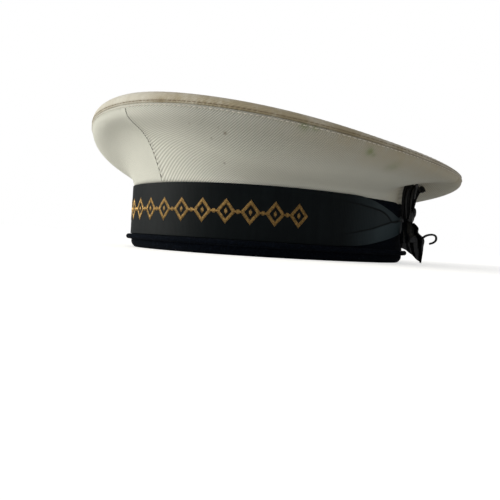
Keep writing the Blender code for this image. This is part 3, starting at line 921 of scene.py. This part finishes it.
class CAP_OT_crown_top(bpy.types.Operator):
    """Lays the crown's oval top, rolled over at its seam"""

    bl_idname = "cap.crown_top"
    bl_options = {"REGISTER", "UNDO"}
    bl_label = "Crown Top"
    steps = (960, 44)               # round the crown and inwards

    def execute(self, context):
        sizes, colours = context.scene.cap_sizes, context.scene.cap_colours
        finish = cotton_twill(
            "Cotton twill, handled and yellowed", colours.tip_twill, colours, sizes, 0.6, 0.88
        )

        def surface(across, inward):
            return top_surface(2 * pi * across, inward, sizes)

        def flat(across, inward):
            p = top_point(2 * pi * across, inward)
            return p[..., 0], p[..., 1] + p[..., 2]

        def from_rim(across, inward):
            angle = 2 * pi * across
            return length_of(top_point(angle, inward) - top_point(angle, np.zeros_like(inward)))

        def grime(across, inward):
            distance = from_rim(across, inward)
            in_seam = np.exp(-distance / SEAM_GRIME_REACH)
            return SEAM_GRIME * np.maximum(in_seam, bump(distance - TOPSTITCH_PLACE, SEAM_GRIME_REACH))

        # Handling all over and at the rim, and painted shade on the roll's middle, from the front round to
        # the side
        def handling_and_top_shade(across, inward):
            turned = np.degrees(np.arctan2(np.sin(2 * pi * across), np.cos(2 * pi * across)))
            at_rim = bump(from_rim(across, inward), HELD_REACH)
            return HELD_ALL + (HELD_RIM + worn(TOP_PAINTED_SHADE, turned)) * at_rim

        layers = {"handling_and_top_shade": handling_and_top_shade, "grime": grime}
        piece = cloth_piece(
            "crown_top_twill", "crown_top", finish, self.steps,
            surface, flat, layers, wall=CLOTH, closed=True,
        )
        inwards = np.linspace(0, 1, 200)
        cut = [
            sum(path_length(top_point(np.full(200, angle), inwards)) for angle in ends)
            for ends in ((pi / 2, -pi / 2), (0, pi))
        ]
        return {"FINISHED"}


def stitch_angles(pitch):
    """Angles of a row of stitches, spaced evenly round the crown's seam."""
    count = int((SEAM_LENGTHS[-1] - SEAM_LENGTHS[0]) / pitch)
    lengths = np.linspace(SEAM_LENGTHS[0], SEAM_LENGTHS[-1], count, endpoint=False)
    return np.interp(lengths, SEAM_LENGTHS, ROUND)


def row_of_stitches(name, finish, places, half_length, radius):
    """A row of stitches right round the crown, each between two places."""
    threads = []
    for here, after in zip(places, np.roll(places, -1, axis=0)):
        threads.append(((here + after) / 2, after - here, half_length, radius))
    add_piece(name, thread_mesh(name, threads), finish)


class CAP_OT_stitches(bpy.types.Operator):
    """Sews the stitches of the front seam and of the rows above and under the crown's seam"""

    bl_idname = "cap.stitches"
    bl_options = {"REGISTER", "UNDO"}
    bl_label = "Stitches"
    front_stitches = 26
    front_reach = (0.03, 0.96)      # of the panel's rise, from the first stitch to the last
    front_share = 0.4               # half a stitch, as a share of its way, in the front seam,
    rim_share = 0.3                 # above the crown's seam
    edge_share = 0.26               # and under it

    def execute(self, context):
        sizes, colours = context.scene.cap_sizes, context.scene.cap_colours
        self.front_seam(sizes, colours)
        self.rim(sizes, colours)
        self.under_rim(sizes, colours)
        return {"FINISHED"}

    def front_seam(self, sizes, colours):
        finish = sewing_thread("Cotton thread, dark", colours.seam_thread)
        rises = np.linspace(*self.front_reach, self.front_stitches * 2 + 1)
        route = side_surface(np.full_like(rises, PANEL_SEAMS[0]), rises, sizes)
        threads = []
        for start, end in zip(route[0:-1:2], route[1::2]):
            centre = (start + end) / 2 + band_outward(PANEL_SEAMS[0]) * FRONT_STITCH_RISE
            half_length = length_of(end - start) * self.front_share
            threads.append((centre, end - start, half_length, sizes.thread / 2))
        add_piece("front_seam_stitches", thread_mesh("front_seam_stitches", threads), finish)

    def under_rim(self, sizes, colours):
        finish = sewing_thread("Cotton thread, white", colours.edge_thread)
        angles = stitch_angles(sizes.edge_pitch)
        places = side_surface(angles, np.full_like(angles, 1 - EDGE_THREAD_PLACE), sizes)
        places = places + band_outward(angles) * STITCH_RISE
        half_length, radius = sizes.edge_pitch * self.edge_share, sizes.thread / 2
        row_of_stitches("edge_stitches", finish, places, half_length, radius)

    def rim(self, sizes, colours):
        finish = sewing_thread("Cotton thread, brown", colours.rim_thread)
        inward = np.linspace(0.0, ROLL_SHARE, 60)
        places = []
        for angle in stitch_angles(sizes.stitch_pitch):
            p = top_point(np.full_like(inward, angle), inward)
            at = np.interp(TOPSTITCH_PLACE, length_of(p - p[0]), inward)
            places.append(top_surface(np.array([angle]), np.array([at]), sizes)[0])
        half_length, radius = sizes.stitch_pitch * self.rim_share, sizes.thread / 2
        row_of_stitches("rim_stitches", finish, np.array(places), half_length, radius)


class CAP_OT_head_band(bpy.types.Operator):
    """Makes the band of milled wool and the piping near its lower edge"""

    bl_idname = "cap.head_band"
    bl_options = {"REGISTER", "UNDO"}
    bl_label = "Head Band"
    steps = (480, 40)               # round the head and round the wall
    piping_steps = (720, 16)
    piping_unevenness = 0.05
    wall_out, wall_up = 0.25, 0.1   # how round the wall's section is: 1 is an oval, less is squarer

    def execute(self, context):
        sizes, colours = context.scene.cap_sizes, context.scene.cap_colours
        finish = milled_wool("Wool cloth, milled", colours.wool, sizes)

        def surface(across, round_wall):
            turn = 2 * pi * round_wall
            side, level = np.cos(turn), np.sin(turn)
            out = BAND_WALL / 2 * (np.sign(side) * np.abs(side) ** self.wall_out - 1)
            height = BAND_HEIGHT / 2 * (1 + np.sign(level) * np.abs(level) ** self.wall_up)
            turned_in = EDGE_ROLL_IN * np.clip(1 - height / EDGE_ROLL, 0, 1) ** 2
            return band_point(2 * pi * across, out - turned_in, height)

        def flat(across, round_wall):
            return along_band(2 * pi * across), round_wall * 2 * BAND_HEIGHT

        band = cloth_piece(
            "head_band_wool", "head_band", finish, self.steps, surface, flat, closed=True,
        )
        self.piping(sizes, colours)
        return {"FINISHED"}

    def piping(self, sizes, colours):
        finish = milled_wool("Wool piping, milled", colours.wool, sizes)

        def surface(across, round_cord):
            angle, turn = 2 * pi * across, 2 * pi * round_cord
            length = along_band(angle)
            uneven = 1 + self.piping_unevenness * np.sin(length / (3.2 * MM)) * np.sin(length / (11 * MM))
            radius = WELT_DIAMETER / 2 * uneven
            return band_point(angle, WELT_OUT + radius * np.cos(turn), WELT_HEIGHT + radius * np.sin(turn))

        def flat(across, round_cord):
            return along_band(2 * pi * across), round_cord * pi * WELT_DIAMETER

        cloth_piece(
            "band_welt_wool", "band_welt", finish, self.piping_steps,
            surface, flat, closed=True,
        )


class CAP_OT_ribbon(bpy.types.Operator):
    """Winds the ribbed silk ribbon round the band and folds it towards the knot"""

    bl_idname = "cap.ribbon"
    bl_options = {"REGISTER", "UNDO"}
    bl_label = "Ribbon"
    steps = (500, 96)               # round the band and across the ribbon

    def execute(self, context):
        sizes, colours = context.scene.cap_sizes, context.scene.cap_colours
        finish = ribbed_silk("Silk ribbon, ribbed weave", colours.silk, sizes, 0.35, 0.5, 0.06)
        half_gap = CLEARANCE / 2 / BAND_HALF_WIDTH
        start = KNOT_ANGLE + half_gap - 2 * pi
        span = 2 * pi - 2 * half_gap
        whole = BAND_LENGTHS[-1] - BAND_LENGTHS[0]

        def left_to_knot(across):
            return np.minimum(across, 1 - across) * whole / GATHER_LENGTH

        def folds(across, rise):
            """The share of the ribbon's width there, how far it lies above and below the two folds, and
            how deep they are."""
            gathered = np.minimum(left_to_knot(across), 1.0)
            low, high = (read(GATHER, edge, gathered, "left") for edge in ("lower", "upper"))
            share = low + (high - low) * rise
            lower, upper, depth = (
                read(FOLDS, column, gathered, "left") for column in ("lower_fold", "upper_fold", "depth")
            )
            return share, (share - upper) * RIBBON_WIDTH, (lower - share) * RIBBON_WIDTH, depth

        def step(distance):
            return 1 / (1 + np.exp(-distance / (FOLD_EDGE / 4)))

        # The flaps, which stand up over the part between; their strength also paints the ribbon's sheen
        def flap_and_sheen(across, rise):
            share, above, below, depth = folds(across, rise)
            return depth * np.maximum(step(above) * 0.8, step(below))

        def painted_sheen(across, rise):
            """Painted sheen: the flaps and the part that is drawn together, painted lighter where the
            gathered silk would catch the light.
            """
            drawn = rising(left_to_knot(across), 0.95, 0.55)
            return np.maximum(flap_and_sheen(across, rise) * 0.9, 0.42) * drawn

        # Painted shadow along the folds: the lines just outside them, pressed in and darkened
        def crease_and_shadow(across, rise):
            share, above, below, depth = folds(across, rise)
            nearest = np.minimum(np.abs(above + CREASE_PLACE), np.abs(below + CREASE_PLACE))
            return depth * bump(nearest, CREASE_SPREAD)

        def surface(across, rise):
            share = folds(across, rise)[0]
            left = left_to_knot(across)
            out = CLEARANCE + RIBBON_THICKNESS / 2
            out = out + FOLD_RISE * flap_and_sheen(across, rise) - CREASE_DEPTH * crease_and_shadow(across, rise)
            out = out + RIPPLE * np.sin(across * whole / RIPPLE_LENGTH) * rising(left, 1.1, 0.1)
            return band_point(start + span * across, out, RIBBON_MIDDLE + RIBBON_WIDTH * share)

        def flat(across, rise):
            return across * whole, rise * RIBBON_WIDTH

        layers = {"flap_and_sheen": painted_sheen, "crease_and_shadow": crease_and_shadow}
        ribbon = cloth_piece(
            "cap_ribbon_silk", "cap_ribbon", finish, self.steps,
            surface, flat, layers, wall=SILK,
        )
        return {"FINISHED"}


class CAP_OT_motifs(bpy.types.Operator):
    """Weaves a row of gilt lozenges and dots into the front of the ribbon"""

    bl_idname = "cap.motifs"
    bl_options = {"REGISTER", "UNDO"}
    bl_label = "Gilt Lozenges"
    each_side = 7
    stroke = 0.42                   # a lozenge's frame, as a share of its half width and half height
    width_share = 0.42              # half a lozenge's width, as a share of the pitch
    core_height = 1.9 * MM          # half the height of the small lozenge in the middle
    core_slope = 1.4
    dot_radius = 1.4 * MM
    shortest = 0.3 * MM             # half a wire's least length
    wire_share = 0.52               # a wire's radius, as a share of the wires' spacing
    depth_share = 0.4               # how far out its centre lies, as a share of the ribbon's thickness

    def execute(self, context):
        sizes, colours = context.scene.cap_sizes, context.scene.cap_colours
        finish = gilt_wire(colours.gilt)
        half_height, half_width = sizes.motif_height / 2, sizes.motif_pitch * self.width_share
        threads = []

        def wire(length, low, high):
            angle = band_angle(length)
            out = CLEARANCE + RIBBON_THICKNESS * self.depth_share
            centre = band_point(angle, out, RIBBON_MIDDLE + (low + high) / 2)
            radius = sizes.wire_spacing * self.wire_share
            threads.append((centre, (0, 0, 1), max((high - low) / 2 - radius, 0.0), radius))

        for k in range(-self.each_side, self.each_side + 1):
            middle = k * sizes.motif_pitch
            for side in np.arange(-half_width, half_width + 1e-9, sizes.wire_spacing):
                outer = half_height * (1 - abs(side) / half_width)
                inner = half_height * (1 - self.stroke - abs(side) / half_width)
                core = self.core_height - abs(side) * self.core_slope
                if inner > 0:
                    wire(middle + side, inner, outer)
                    wire(middle + side, -outer, -inner)
                elif outer > self.shortest:
                    wire(middle + side, -outer, outer)
                if core > self.shortest:
                    wire(middle + side, -core, core)
            if k < self.each_side:
                for side in np.arange(-2, 3) * sizes.wire_spacing:
                    reach = max(self.dot_radius ** 2 - side ** 2, 0) ** 0.5
                    wire(middle + sizes.motif_pitch / 2 + side, -reach, reach)
        add_piece("ribbon_gilt_lozenges", thread_mesh("ribbon_gilt_lozenges", threads), finish)
        return {"FINISHED"}


def strip_surface(rows, pleats, pleat_depth):
    """A strip of ribbon that follows a table's rows, curls across its width and is pleated along it."""
    def centre(share):
        along, out, up = (RIBBON_WIDTH * read(rows, column, share) for column in ("along", "out", "up"))
        return bow_point(KNOT_SIDE * read(rows, "side", share) + along, out, up)

    def surface(across, share):
        turn, curl = np.radians(read(rows, "turn", share)), np.radians(read(rows, "curl", share))
        width = RIBBON_WIDTH * read(rows, "width", share)
        step = 0.01
        forward = unit(centre(np.minimum(share + step, 1.0)) - centre(np.maximum(share - step, 0.0)))
        sideways = bow_point(np.sin(turn), np.cos(turn), 0) - bow_point(0, 0, 0)
        sideways = unit(sideways - forward * (sideways * forward).sum(-1)[..., None])
        face = np.cross(sideways, forward)
        bend = (across - 0.5) * curl
        radius = width / curl
        pleat = pleat_depth * np.cos(2 * pi * pleats * across + 1.5 * np.sin(5 * share))
        lift = radius * (1 - np.cos(bend)) + pleat
        return centre(share) + sideways * (radius * np.sin(bend))[..., None] + face * lift[..., None]

    return surface


def tail_at(down, *columns):
    """Lengths of the bow's tail at a share of its drop."""
    return (RIBBON_WIDTH * read(TAIL, column, down, "down") for column in columns)


class CAP_OT_bow(bpy.types.Operator):
    """Ties the bow: its knot, two loops, tail and wisp"""

    bl_idname = "cap.bow"
    bl_options = {"REGISTER", "UNDO"}
    bl_label = "Bow"
    knot_folds = 7
    knot_fold_depth = 0.14
    turn_place = (1.0 * MM, 3.4 * MM, 2.8 * MM)         # of the ribbon's last turn, from the knot's centre
    turn_size = (3.2 * MM, 3.0 * MM, 7.0 * MM)
    loop_pleats = 2
    loop_pleat_depth = 0.6 * MM
    tail_pleats = 7
    tail_pleat_depth = 0.10

    def execute(self, context):
        sizes, colours = context.scene.cap_sizes, context.scene.cap_colours
        # the bow's silk is painted darker than the ribbon's, as the shade of its creases
        finish = ribbed_silk("Silk of the bow, creased", colours.bow_silk, sizes, 0.4, 0.25, 0.42)
        self.knot(finish)
        self.loops(finish)
        self.tail(finish)
        self.wisp(finish)
        return {"FINISHED"}

    def knot(self, finish):
        def ball(centre, size, folds, twist):
            def surface(across, rise):
                turn, tilt = 2 * pi * across, pi * (rise - 0.5)
                fold = 1 - self.knot_fold_depth * (1 + np.cos(folds * turn + twist * rise)) / 2
                along = centre[0] + size[0] / 2 * np.cos(tilt) * np.sin(turn) * fold
                out = centre[1] + size[1] / 2 * np.cos(tilt) * np.cos(turn) * fold
                return bow_point(along, out, centre[2] + size[2] / 2 * np.sin(tilt))

            return surface

        def flat(across, rise):
            return across * 20 * MM, rise * 12 * MM

        turned = ball((0, 0, 0), (KNOT_ALONG, KNOT_ACROSS, KNOT_TALL), self.knot_folds, 2.0)
        cloth_piece("bow_knot_silk", "bow_knot", finish, (70, 40), turned, flat, closed=True)
        lump = ball(self.turn_place, self.turn_size, 3, 1.0)
        cloth_piece("bow_knot_turn", None, finish, (40, 24), lump, flat, closed=True)

    def loops(self, finish):
        def flat(across, share):
            return share * 60 * MM, across * 8 * MM

        for name, rows in (("bow_loop_upper", LOOP_UPPER), ("bow_loop_rear", LOOP_REAR)):
            surface = strip_surface(rows, self.loop_pleats, self.loop_pleat_depth)
            loop = cloth_piece(
                name + "_silk", name, finish, (30, 90), surface, flat, wall=SILK, side=0,
            )
            cut, area = strip_cut(surface)

    def tail(self, finish):
        def surface(across, share):
            down = share * read(TAIL_CUT, "reach", across, "round")
            turn = TAIL_FIRST + TAIL_TURN * across
            along, out, half_out, half_along = tail_at(down, "along", "out", "half_out", "half_along")
            half_out, half_along = np.maximum(half_out, COLLAR_OUT), np.maximum(half_along, COLLAR_ALONG)
            fold = np.cos(self.tail_pleats * turn + 1.5 * np.sin(4 * down))
            pleat = 1 + self.tail_pleat_depth * fold * np.clip(down * 4, 0, 1)
            along, out = along - half_along * np.sin(turn) * pleat, out + half_out * np.cos(turn) * pleat
            return bow_point(along, out, TAIL_TOP - KNOT_HEIGHT - TAIL_DROP * down)

        def flat(across, share):
            return across * RIBBON_WIDTH, share * TAIL_DROP

        tail = cloth_piece(
            "bow_tail_silk", "bow_tail", finish, (110, 60), surface, flat, wall=SILK, side=0,
        )

    def wisp(self, finish):
        along, out, half_out = tail_at(WISP_ROOT, "along", "out", "half_out")
        root_out = out + max(half_out, COLLAR_OUT) + BOW_CLOTH / 2
        root_up = TAIL_TOP - TAIL_DROP * WISP_ROOT - KNOT_HEIGHT

        def surface(across, share):
            width = WISP_WIDTH * (1 - WISP_TAPER * share)
            away, up = (RIBBON_WIDTH * read(WISP, column, share) for column in ("out", "up"))
            return bow_point(along + width * (across - 0.5), root_out + away, root_up + up)

        def flat(across, share):
            return share * 20 * MM, across * WISP_WIDTH

        cloth_piece(
            "bow_wisp_silk", "bow_wisp", finish, (6, 60),
            surface, flat, wall=WISP_THICKNESS, side=0,
        )


class CAP_OT_stage(bpy.types.Operator):
    """Sets the floor, the lights and the camera"""

    bl_idname = "cap.stage"
    bl_options = {"REGISTER", "UNDO"}
    bl_label = "Stage"
    eye = (303.9 * MM, -282.8 * MM, 8.9 * MM)
    turn = radians(49.1)
    lift = radians(0.93)
    roll = radians(3.66)
    floor_radius = 20.0
    floor_drop = 0.05 * MM
    key_softness = radians(50)      # the angle that the key light fills

    def execute(self, context):
        colours, light = context.scene.cap_colours, context.scene.cap_light
        scene = context.scene
        scene.view_settings.view_transform = "Standard"
        scene.view_settings.look = "None"
        self.floor(colours, light)
        self.lights(scene, light)
        self.camera(scene, light)
        return {"FINISHED"}

    def floor(self, colours, light):
        made, tree, shader = new_material(
            "Paper backdrop, matt", {"Roughness": 0.95, "Specular IOR Level": 0.1}
        )
        grain = add_node(tree, "TexNoise", {"Scale": 400.0, "Detail": 2.0}).outputs[0]
        surfaced(tree, shader, mixed(tree, grain, shaded(colours.floor, 0.97), shaded(colours.floor, 1)))
        seen = add_node(tree, "LightPath").outputs["Is Camera Ray"]
        strength = add_node(tree, "Math", {0: seen, 1: light.floor_glow}, operation="MULTIPLY").outputs[0]
        glow = add_node(tree, "Emission", {"Strength": strength})
        both = add_node(tree, "AddShader", {0: shader.outputs[0], 1: glow.outputs[0]})
        tree.links.new(both.outputs[0], tree.nodes["Material Output"].inputs["Surface"])
        bm = bmesh.new()
        bmesh.ops.create_circle(bm, cap_ends=True, segments=96, radius=self.floor_radius)
        mesh = bpy.data.meshes.new("floor")
        bm.to_mesh(mesh)
        bm.free()
        floor = bpy.data.objects.new("floor", mesh)
        floor.location.z = -self.floor_drop
        mesh.materials.append(made)
        bpy.context.scene.collection.objects.link(floor)

    def lights(self, scene, light):
        key = bpy.data.lights.new("key", "SUN")
        key.energy = light.key
        key.angle = self.key_softness
        key.color = linear("FFFDF6")
        lamp = bpy.data.objects.new("key", key)
        level = cos(light.key_height)
        away = Vector((sin(light.key_turn) * level, -cos(light.key_turn) * level, sin(light.key_height)))
        lamp.rotation_mode = "QUATERNION"
        lamp.rotation_quaternion = away.to_track_quat("Z", "Y")
        scene.collection.objects.link(lamp)
        world = bpy.data.worlds.new("room")
        world.use_nodes = True
        tree = world.node_tree
        tree.nodes.clear()
        even = add_node(tree, "Background", {"Color": (*linear("FBFCFF"), 1), "Strength": light.room})
        white = add_node(tree, "Background", {"Color": (1, 1, 1, 1), "Strength": 1.0})
        seen = add_node(tree, "LightPath").outputs["Is Camera Ray"]
        both = add_node(tree, "MixShader", {0: seen, 1: even.outputs[0], 2: white.outputs[0]})
        add_node(tree, "OutputWorld", {"Surface": both.outputs[0]})
        scene.world = world

    def camera(self, scene, light):
        data = bpy.data.cameras.new("camera")
        data.sensor_width = 36.0
        data.lens = light.lens
        data.clip_start = 1 * MM
        data.clip_end = 100.0
        camera = bpy.data.objects.new("camera", data)
        level = cos(self.lift)
        back = Vector((sin(self.turn) * level, -cos(self.turn) * level, sin(self.lift)))
        right = Vector((cos(self.turn), sin(self.turn), 0))
        up = back.cross(right)
        side = right * cos(self.roll) + up * sin(self.roll)
        top = up * cos(self.roll) - right * sin(self.roll)
        camera.matrix_world = Matrix.Translation(self.eye) @ Matrix((side, top, back)).transposed().to_4x4()
        scene.collection.objects.link(camera)
        scene.camera = camera


class CAP_PT_panel(bpy.types.Panel):
    """Lists the cap's pieces and their sizes and colours"""

    bl_idname = "CAP_PT_panel"
    bl_label = "Sailor Cap"
    bl_space_type = "VIEW_3D"
    bl_region_type = "UI"
    bl_category = "Sailor Cap"

    def draw(self, context):
        for group in (context.scene.cap_sizes, context.scene.cap_colours, context.scene.cap_light):
            box = self.layout.box()
            for name in group.__annotations__:
                box.prop(group, name)
        for step in STEPS:
            self.layout.operator(step.bl_idname)


GROUPS = {"cap_sizes": CapSizes, "cap_colours": CapColours, "cap_light": CapLight}
STEPS = (
    CAP_OT_stage,
    CAP_OT_side_panels,
    CAP_OT_crown_top,
    CAP_OT_stitches,
    CAP_OT_head_band,
    CAP_OT_ribbon,
    CAP_OT_motifs,
    CAP_OT_bow,
)
CLASSES = (*GROUPS.values(), *STEPS, CAP_PT_panel)


def register():
    for made in CLASSES:
        bpy.utils.register_class(made)
    for name, group in GROUPS.items():
        setattr(bpy.types.Scene, name, PointerProperty(type=group))


def unregister():
    for name in GROUPS:
        delattr(bpy.types.Scene, name)
    for made in reversed(CLASSES):
        bpy.utils.unregister_class(made)


def main():
    register()
    for step in STEPS:
        group, name = step.bl_idname.split(".")
        getattr(getattr(bpy.ops, group), name)()
    bpy.context.view_layer.update()


if __name__ == "__main__":
    main()
